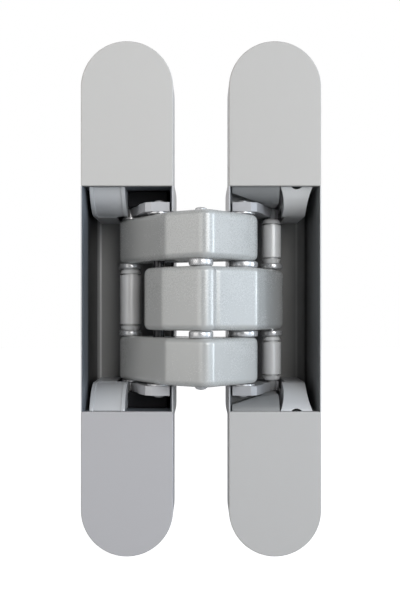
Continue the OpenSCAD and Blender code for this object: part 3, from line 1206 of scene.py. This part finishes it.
@dataclass
class Studio:
    """The photograph's camera, a pale floor, a white surround and soft lamps, in metres."""

    focal_px: float = 847.0
    principal: Point = (201.0, 312.3)
    picture: tuple[int, int] = (400, 600)
    face_y: float = -0.013
    distance: float = 0.220
    eye: Point = (0.01925, -0.0035)
    ambient: float = 0.08
    behind_gain: float = 2.0
    behind_start: float = 0.3
    floor_z: float = -0.0805
    floor_half: float = 1.5
    floor_tone: float = 0.6
    floor_glow: float = 0.95
    lamps: tuple[Lamp, ...] = (
        Lamp("right", 58.0, 8.0, 0.6, (0.85, 0.85), 3.45, (0.74, 0.87, 1.0)),
        Lamp("streak", 78.0, 1.0, 0.6, (0.12, 0.40), 0.95, (0.86, 0.94, 1.0)),
        Lamp("left", -50.0, 15.0, 0.6, (0.55, 0.55), 1.34, (1.0, 0.985, 0.96)),
        Lamp("over", 22.0, 18.0, 0.7, (0.40, 0.40), 2.2, (1.0, 0.985, 0.96)))

    def camera(self) -> None:
        """A level camera in front of the faces, whose shift puts the principal point in its place."""
        lens = bpy.data.cameras.new("portrait")
        lens.sensor_fit = "VERTICAL"
        lens.sensor_height = 36.0
        lens.lens = self.focal_px / self.picture[1] * lens.sensor_height
        lens.shift_x = (self.picture[0] / 2 - self.principal[0]) / self.picture[1]
        lens.shift_y = (self.principal[1] - self.picture[1] / 2) / self.picture[1]
        lens.clip_start = 0.005
        lens.clip_end = 20.0
        holder = bpy.data.objects.new("portrait", lens)
        holder.location = (self.eye[0], self.face_y - self.distance, self.eye[1])
        holder.rotation_euler = (math.pi / 2, 0.0, 0.0)
        bpy.context.scene.collection.objects.link(holder)
        bpy.context.scene.camera = holder

    def surround(self) -> None:
        """A world that is white to the camera and, behind the hinge, in reflections, and dim otherwise."""
        world = bpy.data.worlds.new("surround")
        world.use_nodes = True
        bench = Bench(world.node_tree)
        path = bench.add("ShaderNodeLightPath")
        coords = bench.add("ShaderNodeTexCoord")
        way = bench.add("ShaderNodeSeparateXYZ", Vector=bench.out(coords, "Generated"))
        behind = (bench.out(way, "Y") * self.behind_gain + self.behind_start).clamped()
        seen = (bench.out(path, "Is Camera Ray") + bench.out(path, "Is Transmission Ray")
                + bench.out(path, "Is Glossy Ray") * behind).clamped()
        strength = seen * (1.0 - self.ambient) + self.ambient
        light = bench.add("ShaderNodeBackground", Color=(1, 1, 1, 1), Strength=strength)
        bench.add("ShaderNodeOutputWorld", Surface=bench.out(light))
        bpy.context.scene.world = world

    def floor(self) -> None:
        """A wide pale floor that clears to white for the camera and keeps a faint shadow."""
        made = bpy.data.materials.new("pale_floor")
        made.use_nodes = True
        bench = Bench(made.node_tree)
        seen = bench.out(bench.add("ShaderNodeLightPath"), "Is Camera Ray")
        tone = self.floor_tone
        shader = bench.add("ShaderNodeBsdfPrincipled", Base_Color=(tone, tone, tone, 1.0), Roughness=0.9)
        glow = bench.add("ShaderNodeEmission", Color=(1, 1, 1, 1), Strength=seen * self.floor_glow)
        both = bench.add("ShaderNodeAddShader", _0=bench.out(shader), _1=bench.out(glow))
        bench.add("ShaderNodeOutputMaterial", Surface=bench.out(both))
        half = self.floor_half
        plan = ((-half, -half), (half, -half), (half, half), (-half, half))
        corners = [(x, y, self.floor_z) for x, y in plan]
        mesh = bpy.data.meshes.new("floor")
        mesh.from_pydata(corners, [], [[0, 1, 2, 3]])
        mesh.materials.append(made)
        sheet = bpy.data.objects.new("floor", mesh)
        bpy.context.scene.collection.objects.link(sheet)

    def build(self) -> None:
        """Sets the whole studio."""
        bpy.context.scene.view_settings.view_transform = "Standard"
        self.camera()
        self.surround()
        self.floor()
        for lamp in self.lamps:
            lamp.hang(Vector((self.eye[0], self.face_y, 0.0)))


def main() -> None:
    """Builds every sub-assembly in order, then the studio."""
    logging.basicConfig(level=logging.INFO, format="%(message)s")
    geometry = Geometry()
    Shells().build()
    Covers(geometry).build()
    Arms(geometry).build()
    Turned(geometry).build()
    GuidePlates().build()
    Studio().build()


if __name__ == "__main__":
    main()
